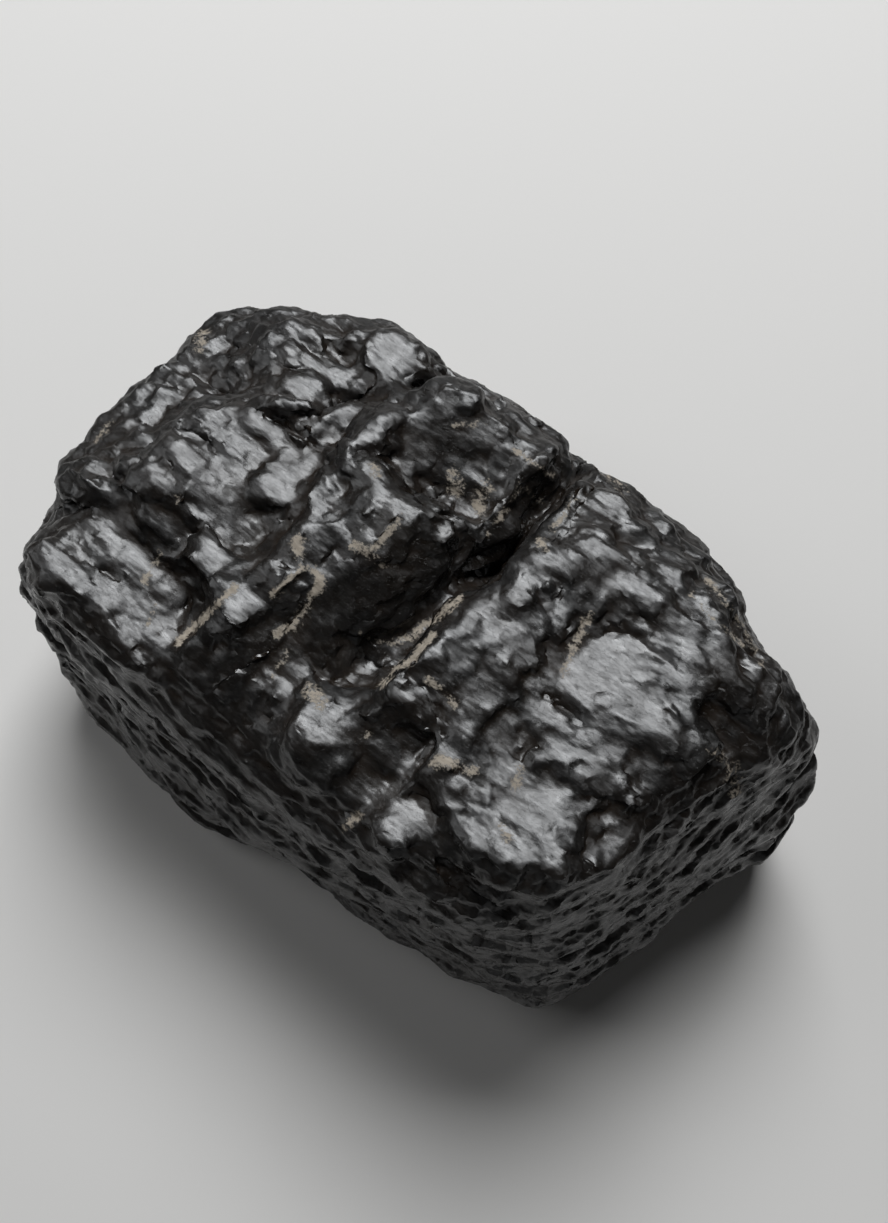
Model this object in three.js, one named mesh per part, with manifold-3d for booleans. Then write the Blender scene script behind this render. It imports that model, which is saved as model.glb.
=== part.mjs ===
/**
 * A hand specimen of bituminous coal: one blocky lump, broken out of a bedded seam and resting on a flat break.
 *
 * Units are millimetres. +Z is up and square to the bedding, +X runs along the lump from its blunt end to its
 * pointed end, and the origin is the middle of the lump's box on the surface it rests on.
 *
 * The lump is the space common to many flat breaks, softened where they meet. Every point of its surface is
 * found along a ray from a core point, then lowered where the lump is hollowed, chipped or cracked.
 */
import * as THREE from 'three';
import { ImprovedNoise } from 'three/addons/math/ImprovedNoise.js';
import { mergeVertices } from 'three/addons/utils/BufferGeometryUtils.js';
import Module from 'manifold-3d';

// Driving dimensions: the finished lump is brought to exactly this box.
const LENGTH = 90;
const WIDTH = 59;
const HEIGHT = 40;

const UP = new THREE.Vector3(0, 0, 1);

// The rays: where they start, how finely they divide the sphere, and how far and how finely each is searched.
const CORE = new THREE.Vector3(0, 0, 18);
const RAY_SUBDIVISIONS = 21;
const FURTHEST = 80;
const HALVINGS = 26;

// How far the rough lump reaches below the surface it rests on, before the resting face is cut.
const UNDERSIDE_DEPTH = 3;

// How tightly the breaks meet: the edge between two of them is rounded off over about 2 / EDGE_SHARPNESS.
const EDGE_SHARPNESS = 2;

/**
 * The breaks round the sides, anticlockwise seen from above. Each group stands out furthest at one height, where
 * its corners [x, y] lie. Above and below that height its breaks lean inwards: above and below give how steep
 * they are, in degrees from level.
 */
const SIDES = [
  {
    name: 'near side, blunt half, widest at its foot',
    height: 3.5,
    above: 76,
    below: 42,
    corners: [[-43, -25], [-38, -26.8], [-30.4, -28.3], [-21.6, -29.4], [-10.5, -29.9]],
  },
  {
    name: 'near side, pointed half, almost upright',
    height: 3.5,
    above: 83,
    below: 42,
    corners: [[-10.5, -29.9], [27, -24.1], [31.8, -22.9]],
  },
  {
    name: 'near corner of the pointed end',
    height: 6,
    above: 77,
    below: 50,
    corners: [[31.8, -22.9], [35.8, -20], [39.2, -12.6]],
  },
  {
    name: 'pointed end, sloping back to the top',
    height: 8,
    above: 71,
    below: 58,
    corners: [[39.2, -12.6], [41.5, -5], [44.2, 4.5], [45.8, 12], [45.6, 17.6]],
  },
  {
    name: 'far corner of the pointed end',
    height: 17,
    above: 76,
    below: 78,
    corners: [[45.4, 17.6], [42.6, 21], [38.6, 22.9]],
  },
  {
    name: 'far side, slightly overhung',
    height: 24,
    above: 68,
    below: 83,
    corners: [[40.4, 18], [36, 21], [24.2, 26.5], [17.6, 28.3], [-20.6, 30.7], [-25, 30], [-40.5, 21.2]],
  },
  {
    name: 'blunt end, slightly overhung',
    height: 23,
    above: 74,
    below: 81,
    corners: [[-40.5, 21.2], [-44.6, 16.2], [-46.2, 4], [-46.3, -3], [-45.2, -9], [-43.6, -15.5],
      [-42.5, -19.6], [-41.3, -23.4]],
  },
];

/**
 * The breaks across the top: each passes through [x, y, z] and climbs by climb[0] and climb[1] for every
 * millimetre towards +X and +Y.
 */
const TOP = [
  { name: 'blunt end, upper bevel', through: [-43, 0, 27.6], climb: [0.78, 0] },
  { name: 'blunt end, crown', through: [-32, 0, 33.6], climb: [0.36, 0] },
  { name: 'long crown', through: [-8, 0, 38], climb: [0.12, 0] },
  { name: 'hump top', through: [22, -2, 41.2], climb: [-0.03, 0.03] },
  { name: 'hump shoulder', through: [32, 0, 38.8], climb: [-0.4, 0] },
  { name: 'pointed end, upper bevel', through: [39.6, 0, 34], climb: [-1.05, 0] },
  { name: 'far crown', through: [0, 12, 37.4], climb: [0.02, -0.2] },
  { name: 'far bevel', through: [0, 23, 33.2], climb: [0.03, -0.5] },
  { name: 'near crown', through: [0, -9, 38], climb: [0.03, 0.1] },
  { name: 'near bevel', through: [0, -18, 36], climb: [0.05, 0.3] },
  { name: 'blunt far corner', through: [-38, 18, 28.6], climb: [0.36, -0.26] },
  { name: 'blunt near corner', through: [-37, -17, 29.6], climb: [0.42, 0.3] },
  { name: 'pointed far corner', through: [37, 16, 33.1], climb: [-0.45, -0.42] },
  { name: 'pointed near corner', through: [34, -15, 34.6], climb: [-0.5, 0.42] },
];

/**
 * Where the surface is hollowed: each hollow is centred on at and reaches size along its own axes, which are
 * turned about Z by turn degrees. Its middle is pushed in by push, and its edge not at all.
 */
const HOLLOWS = [
  { name: 'trough across the top', at: [-4.2, -1, 35], size: [9, 32, 16], turn: -11, push: [0, 0, -3.6] },
  { name: 'steep groove of the trough', at: [1.8, 15, 34], size: [3.8, 15, 14], turn: -2, push: [0, 0, -3.2] },
  { name: 'trough floor, near part', at: [-3.5, -8, 34], size: [6, 8, 14], turn: 0, push: [0, 0, -1.4] },
  { name: 'far field, left of the trough', at: [-16, 16, 33], size: [15, 8, 14], turn: 0, push: [0, 0, -2] },
  { name: 'far hollow', at: [-13.5, 22.5, 31], size: [6, 3.4, 12], turn: 0, push: [0, -0.5, -2.6] },
  { name: 'step along the near field', at: [-32, -10.5, 30], size: [15, 4.5, 14], turn: 3, push: [0, 0, -1.4] },
  { name: 'groove before the near rim', at: [24, -17, 35], size: [10, 2.6, 12], turn: 2, push: [0, 0, -2.6] },
  { name: 'hollow of the pointed end', at: [31.5, 9, 35], size: [7.5, 3.4, 12], turn: -8, push: [0, 0, -2.8] },
  { name: 'hollow in the hump', at: [13, -6.5, 37], size: [5.5, 5, 12], turn: 0, push: [0, 0, -1.5] },
  { name: 'dip before the near edge', at: [-1, -19, 33], size: [11, 5, 12], turn: 0, push: [0, 0, -1.4] },
  { name: 'notch in the blunt end', at: [-46, 8.2, 25], size: [5, 2.6, 16], turn: 0, push: [1.9, 0, 0] },
  { name: 'near notch in the blunt end', at: [-45, -12, 25], size: [6, 4, 16], turn: 0, push: [2, 0.5, 0] },
  { name: 'notch in the far rim', at: [-16.6, 30.4, 25], size: [4, 4, 16], turn: 0, push: [0, -2, 0] },
  { name: 'slack of the far rim', at: [8, 29, 25], size: [12, 5, 12], turn: 0, push: [0, -1.5, 0] },
  { name: 'notch in the pointed end', at: [42, -1.5, 11], size: [6, 3, 18], turn: 0, push: [-1.7, 0, 0] },
  { name: 'slack of the near side', at: [7, -26, 8], size: [16, 6, 16], turn: 9, push: [0, 1.2, 0] },
  { name: 'notch in the near foot', at: [0.5, -27.6, 3], size: [5, 4, 9], turn: 0, push: [0, 1, 0] },
];

// Broken texture all over: [height of the relief, distance between its lumps].
const RELIEF = [[0.7, 11], [0.4, 5.5]];

const COAL = new THREE.MeshStandardMaterial({ color: 0x1b1a1c, roughness: 0.42, metalness: 0 });

function radians(degrees) {
  return THREE.MathUtils.degToRad(degrees);
}

/** The two breaks through a pair of corners: one leaning in above their height, one leaning in below it. */
function sideBreaks(side, [x0, y0], [x1, y1]) {
  const outward = new THREE.Vector3(y1 - y0, x0 - x1, 0).normalize();
  const foot = new THREE.Vector3(x0, y0, side.height);
  const leaning = (slope, vertical) => {
    const normal = outward.clone().multiplyScalar(Math.sin(radians(slope)));
    normal.z = vertical * Math.cos(radians(slope));
    return new THREE.Plane().setFromNormalAndCoplanarPoint(normal, foot);
  };
  return [leaning(side.above, 1), leaning(side.below, -1)];
}

function topBreak({ through, climb }) {
  const normal = new THREE.Vector3(-climb[0], -climb[1], 1).normalize();
  return new THREE.Plane().setFromNormalAndCoplanarPoint(normal, new THREE.Vector3(...through));
}

/** The level break that becomes the resting face once it is cut flat. */
function undersideBreak() {
  return new THREE.Plane(UP.clone().negate(), -UNDERSIDE_DEPTH);
}

function allBreaks() {
  const sides = SIDES.flatMap((side) =>
    side.corners.slice(1).flatMap((corner, i) => sideBreaks(side, side.corners[i], corner)));
  return [...sides, ...TOP.map(topBreak), undersideBreak()];
}

/** How far a point stands outside the breaks, as a soft maximum over all of them. */
function outside(breaks, point) {
  const distances = breaks.map((plane) => plane.distanceToPoint(point));
  const largest = Math.max(...distances);
  const sum = distances.reduce((total, d) => total + Math.exp(EDGE_SHARPNESS * (d - largest)), 0);
  return largest + Math.log(sum) / EDGE_SHARPNESS;
}

/** Where the ray from the core along direction leaves the breaks, found by halving. */
function surfacePoint(breaks, direction) {
  const point = new THREE.Vector3();
  let near = 0;
  let far = FURTHEST;
  for (let i = 0; i < HALVINGS; i += 1) {
    const middle = (near + far) / 2;
    point.copy(CORE).addScaledVector(direction, middle);
    if (outside(breaks, point) > 0) far = middle;
    else near = middle;
  }
  return point;
}

/** How much of a hollow's push a point takes: all in its middle, falling smoothly to none at its edge. */
function share({ at, size, turn }, point) {
  const local = point.clone().sub(new THREE.Vector3(...at)).applyAxisAngle(UP, -radians(turn));
  const reach = local.divide(new THREE.Vector3(...size)).lengthSq();
  return reach < 1 ? (1 - reach) ** 2 : 0;
}

/** Adds what every hollow does at a point of the surface. */
function hollowed(point) {
  const moved = point.clone();
  HOLLOWS.forEach((hollow) => moved.addScaledVector(new THREE.Vector3(...hollow.push), share(hollow, point)));
  return moved;
}

function relief(noise, point) {
  return RELIEF.reduce((total, [height, spacing]) =>
    total + height * noise.noise(point.x / spacing, point.y / spacing, point.z / spacing), 0);
}

/** The whole lump, still reaching below the surface that it will rest on. */
function roughLump() {
  const geometry = new THREE.IcosahedronGeometry(1, RAY_SUBDIVISIONS);
  geometry.deleteAttribute('normal');
  geometry.deleteAttribute('uv');
  const merged = mergeVertices(geometry);
  const breaks = allBreaks();
  const noise = new ImprovedNoise();
  const positions = merged.getAttribute('position');
  const direction = new THREE.Vector3();
  for (let i = 0; i < positions.count; i += 1) {
    direction.fromBufferAttribute(positions, i).normalize();
    const point = surfacePoint(breaks, direction);
    const moved = hollowed(point).addScaledVector(direction, relief(noise, point));
    positions.setXYZ(i, moved.x, moved.y, moved.z);
  }
  return merged;
}

/** A closed mesh as a solid that can be cut. */
function solidOf(wasm, geometry) {
  const vertProperties = new Float32Array(geometry.getAttribute('position').array);
  const triVerts = new Uint32Array(geometry.getIndex().array);
  return new wasm.Manifold(new wasm.Mesh({ numProp: 3, vertProperties, triVerts }));
}

function geometryOf(solid) {
  const mesh = solid.getMesh();
  const geometry = new THREE.BufferGeometry();
  geometry.setAttribute('position', new THREE.BufferAttribute(mesh.vertProperties, 3));
  geometry.setIndex(new THREE.BufferAttribute(mesh.triVerts, 1));
  return geometry;
}

/** A block that fills everything from the resting surface down. */
function groundBlock() {
  const block = new THREE.BoxGeometry(2 * LENGTH, 2 * WIDTH, HEIGHT).translate(0, 0, -HEIGHT / 2);
  block.deleteAttribute('normal');
  block.deleteAttribute('uv');
  return mergeVertices(block);
}

/** Cuts the flat break that the lump rests on. */
async function withRestingFace(geometry) {
  const wasm = await Module();
  wasm.setup();
  return geometryOf(solidOf(wasm, geometry).subtract(solidOf(wasm, groundBlock())));
}

/** Brings the lump to its driving dimensions, with the origin in the middle of its box's underside. */
function fitted(geometry) {
  geometry.computeBoundingBox();
  const size = geometry.boundingBox.getSize(new THREE.Vector3());
  const middle = geometry.boundingBox.getCenter(new THREE.Vector3());
  geometry.translate(-middle.x, -middle.y, -geometry.boundingBox.min.z);
  geometry.scale(LENGTH / size.x, WIDTH / size.y, HEIGHT / size.z);
  geometry.computeVertexNormals();
  return geometry;
}

const lump = new THREE.Mesh(fitted(await withRestingFace(roughLump())), COAL);
lump.name = 'coal_lump';

const specimen = new THREE.Group();
specimen.add(lump);

export default specimen;
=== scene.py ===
import math

import bmesh
import bpy
import numpy as np
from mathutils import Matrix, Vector


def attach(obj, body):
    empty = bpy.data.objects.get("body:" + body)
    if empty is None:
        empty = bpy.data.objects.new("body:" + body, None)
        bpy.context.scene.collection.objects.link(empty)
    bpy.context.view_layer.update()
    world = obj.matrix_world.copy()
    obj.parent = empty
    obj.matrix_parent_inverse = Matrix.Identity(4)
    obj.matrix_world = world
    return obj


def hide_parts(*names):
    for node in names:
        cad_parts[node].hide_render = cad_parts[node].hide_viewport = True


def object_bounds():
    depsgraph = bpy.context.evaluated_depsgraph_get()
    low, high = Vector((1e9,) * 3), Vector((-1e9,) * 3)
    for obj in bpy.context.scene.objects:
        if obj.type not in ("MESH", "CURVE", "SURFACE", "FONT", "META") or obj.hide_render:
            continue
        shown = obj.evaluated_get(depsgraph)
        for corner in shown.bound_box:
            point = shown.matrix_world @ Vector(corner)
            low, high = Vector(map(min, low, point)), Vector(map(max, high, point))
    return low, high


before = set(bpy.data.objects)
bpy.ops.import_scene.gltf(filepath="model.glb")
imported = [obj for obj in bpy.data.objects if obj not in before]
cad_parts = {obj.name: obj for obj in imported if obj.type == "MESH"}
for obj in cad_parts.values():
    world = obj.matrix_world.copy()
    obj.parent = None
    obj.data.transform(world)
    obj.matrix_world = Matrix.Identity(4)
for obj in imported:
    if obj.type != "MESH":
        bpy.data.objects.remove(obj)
cad_low, cad_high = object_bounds()

# Lengths are millimetres in the CAD frame until a mesh or a light is placed, and then metres.
MM = 0.001

# More than any distance here
FAR = 99.0

# The mesh: its voxels and the rounds of smoothing after each remesh, how far the last round goes,
# how many triangles are kept, and the angle from which an edge is sharp.
FIRST_VOXEL = 0.55
FIRST_SMOOTHING = 50
FINE_VOXEL = 0.22
FINE_SMOOTHING = 1
LAST_SMOOTHING = 0.35
TRIANGLES = 192000
SHARP_ANGLE = math.radians(30)

# Rounds of smoothing that even out the normals: for the blocks, for their tones and the swells, for
# what is drawn on top, for the bulges, and to tell walls from top.
BLOCK_ROUNDS = 6
TONE_ROUNDS = 30
DRAWING_ROUNDS = 8
BULGE_ROUNDS = 20
WALL_ROUNDS = 12

# A full hollow lies this deep under the surface that so many rounds of smoothing give.
HOLLOW = 0.35
HOLLOW_ROUNDS = 30

# How far the broken surface may stand out of the CAD box
SPARE = 0.9

# The Z of a normal up to which the surface is a wall, and from which it is the top.
WALL_UP_TO = 0.25
TOP_FROM = 0.6

# The blocks that the surface breaks into, larger ones first: their size along X, Y and Z, how far a
# face may move to be flat, how far it steps in or out, and how far it leans.
TOP_BLOCKS = (
    ((4.8, 3.2, 2.6), 1.3, 0.1, 0.05),
    ((2.2, 1.3, 1), 0.5, 0.04, 0.07),
    ((1, 0.7, 0.5), 0.1, 0.01, 0.05),
)
WALL_BLOCKS = (
    ((8, 8, 3.4), 0.9, 0.04, 0.14),
    ((4, 4, 1.8), 0.35, 0.01, 0.1),
    ((1.6, 1.6, 0.9), 0.08, 0.01, 0.06),
)

# A block's middle keeps this share of its cell away from the sides.
MARGIN = 0.12

# The shape of a block: 2 is a ball, and more is nearer to a box.
BOXINESS = 3

# The seam between two blocks, as a share of a block: its least width, how much wider it may be
# where their faces nearly meet, and the step between them from which it stays narrow.
SEAM = 0.05
WIDER_SEAM = 0.3
SMALL_STEP = 0.08

# How much of the relief of the smaller blocks the smoothest faces lose
FINE_LOSS = 0.65

# The blocks follow a grain that bends in waves: the size and strength of each, and how far they
# reach along X, Y and Z.
BEND_WAVES = (((9, 9, 6), 1), ((4.5, 4.5, 3), 0.5))
BEND = (0.7, 0.7, 0.4)

# How far the block faces on the walls lean in towards the foot, and the size and strength of the
# noise that changes this. Size and height of the noise that makes the layers rise and fall.
UNDERCUT = 0.32
UNDERCUT_CHANGE = ((16, 16, 10), 0.75)
LAYER_WAVE = ((24, 24, 12), 2.2)

# How far a vertex may stand off its neighbours, and how often one further out is pulled back
SPIKE = 0.08
SPIKE_ROUNDS = 3

# Soft swells on the walls: their length along X, Y and Z, and how high they stand.
WALL_SWELLS = (
    ((13, 13, 6), 1),
    ((13, 13, 2.8), 0.42),
    ((6.5, 6.5, 1.5), 0.18),
)

# Corners and rims that are worn away: a point on the plane of each and the way that it faces.
WORN_CORNERS = (
    ((28, -6, 39.2), (0.6, -0.12, 0.79)),
    ((30, -5, 35.8), (0.75, -0.2, 0.63)),
    ((22, -18.6, 34.9), (0.35, -0.6, 0.72)),
    ((0, -21, 33), (-0.05, -0.7, 0.71)),
    ((-34, -19, 29.2), (-0.25, -0.65, 0.72)),
)

# How far blocks of each size follow the tones below, how far one may lean to do so, how far the
# darkest leans from the lit slope, and the slope the other way from which a block darkens by
# leaning that way.
TONE_PULL = (0.75, 1, 0.5)
MOST_LEAN = 0.45
DARK_SLOPE = (-0.22, 0.28)
OTHER_WAY = 0.22

# The tone where no row lies, and how wide the edge of a row is
TONE_ELSEWHERE = 0.6
TONE_EDGE = 1.0

# The features on top are drawn as they are seen from the camera, on a sheet that arches over the
# top. The sheet's own zero lies at this point of the CAD frame, and these are its heights along X.
# A line of sight is met with it in a few tries, from a first guess.
DRAWN_FROM = (0.4, -0.3)
SHEET_X = (-46, -36, -22, -4, 10, 24, 36, 44)
SHEET_HEIGHT = (22, 29, 34, 34, 37, 38, 34, 25)
FIRST_HEIGHT = 34.0
TRIES = 4

# Drawn outlines are made ragged by noise and by blocks of two sizes: the size and the reach of
# each. Lines take this share of it.
RAGGED_NOISE = ((3.2, 3.2, 6), 0.25)
RAGGED_BLOCKS = (((2.1, 1.5, 2), 0.55), ((0.9, 0.7, 1.2), 0.25))
RAGGED_LINES = 0.4

# A drawn patch is between an oval, 2, and a rectangle. Drawn faces are wavy: size and height of
# each wave. In the relief their edges are wider by this factor.
SQUARENESS = 3.4
FACE_WAVES = (((6, 4, 9), 0.16), ((2.4, 1.6, 4), 0.05))
RELIEF_EDGE = 1.3

# A drawn line is flat over the first share of its half width and slopes over the next. It runs out
# over this share of its length at each end, down to this share of its depth.
LINE_FLAT = 0.25
LINE_SIDE = 0.85
LINE_END = 0.12
END_DEPTH = 0.35

# A film fades out over this many half widths.
FILM_FADE = 1.6

# Where points are looked for: half widths from a line, and half diagonals from a face's middle.
LINE_SEARCH = 2.5
FACE_SEARCH = 1.1

# What is stored on the mesh for the material
STORED = ("film", "hollow", "calm", "wall")

# The slope, along X and Y, of a face on top that lies towards the window, how it changes with
# place, and how much further a face slopes that lies towards the second window.
LIT_SLOPE = (0.092, -0.190)
LIT_CHANGE = (0.0052, 0.0050)
SECOND_SLOPE = (0.25, 0.47)

# How dark the broken ground on top looks, from 0, lying towards the window, to 1, lying away from
# it: middle x and y, half size along and across, turn in degrees, tone. Later rows cover earlier
# ones.
TONES = (
    # broad parts
    (-30, 2, 17, 22, 0, 0.34),
    (-44.5, 2, 2.6, 16, 0, 0.25),
    (-41, 15.5, 4, 2.6, 8, 0.28),
    (-9, 18, 8, 8, 0, 0.8),
    (-3.5, 2, 6.5, 11, 0, 0.92),
    (1.5, 16, 3, 10, 0, 1.05),
    (3.5, -15, 7, 6.5, 0, 0.8),
    (10, 3, 5, 12, 0, 0.6),
    (20, 8.5, 8, 8, 0, 0.42),
    (21.5, -7, 6.8, 9, 0, 0.32),
    # blunt end and upper left
    (-30, 21, 5, 2.2, 8, 0.35),
    (-38, 17.8, 6, 1.8, 8, 0.14),
    (-31, 17.2, 3.2, 1, 0, 0.22),
    (-22.5, 18.5, 2.2, 3, 0, 0.22),
    (-21, 22.4, 3.4, 2.8, 0, 0.05),
    (-26.2, 19.4, 1.6, 0.8, 0, 0.9),
    (-45.2, 12.5, 1, 2.6, 0, 0.2),
    (-40, 12.2, 4, 1.6, 0, 0.6),
    (-33.5, 13.2, 3, 1.6, 0, 0.4),
    (-31, 11, 3.2, 0.6, 0, 0.9),
    (-27, 13.5, 2.8, 2.2, 14, 0.05),
    (-25.5, 11, 2.6, 1, 14, 0.2),
    (-19, 17.3, 1, 2.2, 0, 0.9),
    (-21.3, 12.5, 2.1, 3.2, 0, 0.95),
    (-40, 8.6, 4, 1.1, 0, 0.22),
    (-42, 6.4, 3.4, 1.5, 0, 0.4),
    (-33.5, 7.2, 3.5, 2, 0, 0.42),
    (-44, 2, 1.6, 2.4, 0, 0.42),
    (-38.6, 1.6, 3, 2, 0, 0.55),
    (-38, -2.2, 4, 1.3, 0, 0.55),
    (-41, -8.4, 3.4, 2, 0, 0.46),
    # central slab and what lies round it
    (-26.6, 4, 3, 3.6, 0, 0.45),
    (-26, 7.6, 4.2, 1.1, 0, 0.15),
    (-20.6, 4.6, 3.2, 4.6, -24, 0),
    (-32, 2.5, 3.2, 0.9, 0, 0.9),
    (-27.2, 1.8, 2, 1.4, 0, 0.22),
    (-32, -0.4, 3.4, 1.7, 0, -0.05),
    (-33, -2.4, 2, 0.6, 0, 0.85),
    (-32, -4, 3.2, 1, 0, 0.22),
    (-22, -2.6, 5.4, 2.2, 0, 0.72),
    (-35, -7.2, 2.4, 0.6, 0, 0.3),
    (-30.5, -8.4, 6, 1.3, 0, 0.42),
    (-21.4, -7.3, 3.2, 1.9, 0, 0.12),
    (-17.3, -7.3, 1.3, 2.2, 0, 0.85),
    (-15.4, 3, 2.2, 3, 0, 0.68),
    (-14, 6.6, 1.9, 2, 0, 0.68),
    (-12, 3, 1.8, 2.4, 0, 0.48),
    (-11.2, 7.3, 0.9, 2.3, 0, 0.18),
    # lower left
    (-39, -12, 2.8, 1, 0, 0.22),
    (-33, -12.3, 3.2, 1.4, 0, 0.18),
    (-27.3, -12.4, 3, 1.8, 0, 0.22),
    (-22.8, -12, 1.8, 2.6, 0, 0.52),
    (-19.4, -12.6, 1.5, 2.6, 0, 0.42),
    (-30, -17.6, 6, 2.6, -8, 0.16),
    (-26.5, -15.4, 3, 0.6, 0, 0.62),
    (-23, -18.4, 2.6, 2, 0, 0.5),
    (-26, -21.6, 6, 1.3, -6, 0.2),
    (-18.7, -19.6, 2.2, 1.5, -20, 0.18),
    (-14.4, -9.6, 1.8, 3, 8, 0.18),
    (-13.3, -13, 1.7, 1, 0, 0.15),
    (-13, -17.6, 4, 2, 0, 0.82),
    # middle of the far side
    (-16.4, 13.6, 1.3, 3.2, -6, 0.1),
    (-18.5, 13.2, 0.8, 3.2, 0, 0.42),
    (-14, 11.4, 1.2, 1.4, 0, 0.9),
    (-11.6, 13.2, 2.6, 1.9, 0, 0.74),
    (-13.8, 22, 4.2, 1.2, 22, 1.1),
    (-14.7, 18.9, 1.4, 0.9, 0, 0),
    (-17, 17.5, 1.4, 0.7, 0, 0.2),
    (-10.4, 17.6, 2.8, 0.7, 0, 0.3),
    (-8.2, 19.6, 2.6, 1.6, 0, 0.9),
    (-8.6, 22.4, 1.2, 2.4, 0, 0.7),
    (-6.4, 22.4, 0.7, 2.8, 0, 0.32),
    (-3.5, 23.6, 1.7, 1.5, 0, 0.15),
    (-3, 18.4, 3.2, 2.2, 0, 0.78),
    (-2.4, 14.6, 2.2, 2, 0, 0.66),
    (-5.2, 11.4, 4.4, 1.3, 0, 0.95),
    # the trough and the groove
    (-5.4, 6, 2.2, 3.2, 0, 0.88),
    (-8, 5, 0.8, 2.6, 0, 0.4),
    (-3.6, 2.6, 2.6, 3.2, 0, 0.92),
    (-2.9, 8.4, 1.4, 1.6, 0, 0.05),
    (-11.4, -0.4, 1.4, 1.1, 0, 1),
    (-7.4, -2.6, 2.2, 1.6, 0, 0.74),
    (-3.6, -4.6, 4.6, 5.4, 0, 1.05),
    (-9.6, -13.4, 1.8, 4.2, 12, 0.95),
    (-3.2, -10.2, 3.2, 1.2, 0, 0.92),
    (-6, -13.8, 1.2, 2.1, 0, 0.15),
    (-3, -15, 1.1, 0.8, 0, 0.2),
    (-6, -18.2, 1.2, 2, 0, 0.56),
    (-2.4, -18.2, 2.2, 2.2, 0, 0.88),
    (1.6, 16.2, 2.4, 7.6, -3, 1.1),
    (0.9, 6.4, 2.6, 3.6, 0, 1),
    # right of the groove
    (4.7, 21, 0.8, 3.6, 0, 0.28),
    (5.2, 16, 0.7, 4, 4, 0.25),
    (6.9, 15, 0.6, 3.2, 0, 0.95),
    (8.2, 21, 2.2, 1.8, 0, 0.2),
    (8.9, 16.5, 1, 2.6, -20, 0.28),
    (8.8, 12.8, 1.4, 1.8, 0, 0.38),
    (12.6, 18.4, 2.4, 2.2, 0, 0.78),
    (12, 13.6, 1.9, 2.6, 0, 0.85),
    (16.2, 13.6, 2.4, 2.2, 0, 0.28),
    (22, 13, 2.2, 2.2, 0, 0.28),
    (27, 12, 2.8, 2.2, 0, 0.7),
    (6.2, 8, 1.4, 1.9, 0, 0.32),
    (9.6, 8, 1.7, 2.6, 0, 0.62),
    (13, 8.5, 0.8, 2.2, 0, 0.25),
    (4.6, 2.6, 1.6, 2.2, 0, 0.4),
    (8.2, 2.2, 1.6, 2.2, 0, 0.45),
    (12, 3, 1.3, 2.2, 0, 0.68),
    (1.6, -3, 1, 3.2, 0, 0.42),
    (5.7, -1.8, 2.5, 2.1, 0, 0.5),
    (10.4, -3, 2.2, 1.6, 0, 0.64),
    (7.4, -6, 3.2, 1, 0, 0.8),
    (3.4, -8.4, 1.9, 1.4, 0, 0.3),
    (1.8, -11.4, 2, 1.6, 0, 0.32),
    (-0.6, -14.2, 1.9, 1.9, 0, 0.8),
    (7.2, -12.2, 2.9, 3.6, 0, 0.92),
    (3.8, -17.6, 4.4, 3, 0, 0.78),
    (11.2, -7.4, 2, 1.2, 0, 0.48),
    (12.4, -10, 1.8, 0.9, 0, 0.22),
    (12, -17.6, 2.5, 4.2, -18, 0.15),
    (8.2, -20.6, 1, 1.3, 0, 0.3),
    # high hump
    (18, 6.1, 3.4, 4.4, 0, 0.03),
    (23.4, 6, 2.8, 3, 0, 0.2),
    (27.2, 6.4, 2, 2, 0, 0.34),
    (17.6, 1.3, 2.3, 0.7, 0, 0.95),
    (15.5, -4.8, 2.2, 2.6, 0, 0.84),
    (15, -7.6, 2, 1.7, 0, 0.8),
    (23.4, -7.8, 5, 4.6, 0, 0.06),
    (19.4, -3.8, 1.9, 2.6, 10, 0.05),
    (20, -12.6, 5.4, 2.9, 0, 0.1),
    (27.9, -7.4, 2, 3.4, 0, 0.3),
    (27.2, -12.6, 3, 2.4, 0, 0.62),
    (28, 1.5, 3.6, 2.6, 0, 0.95),
    (27.4, -2.3, 1.5, 1, 0, -0.05),
    (31.7, -1.8, 1, 0.8, 0, 0),
    # pointed end
    (33, 9.2, 5, 1.7, -8, 1.1),
    (36, 0.4, 3, 4, 0, 0.88),
    (34, -4.6, 3, 2.4, 0, 0.88),
    (33, -11, 3.4, 5, 0, 0.92),
    (22.4, -17.5, 7.4, 1.6, 0, 1.1),
    (23, -20.4, 6, 1.2, 0, 0.78),
)

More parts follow.
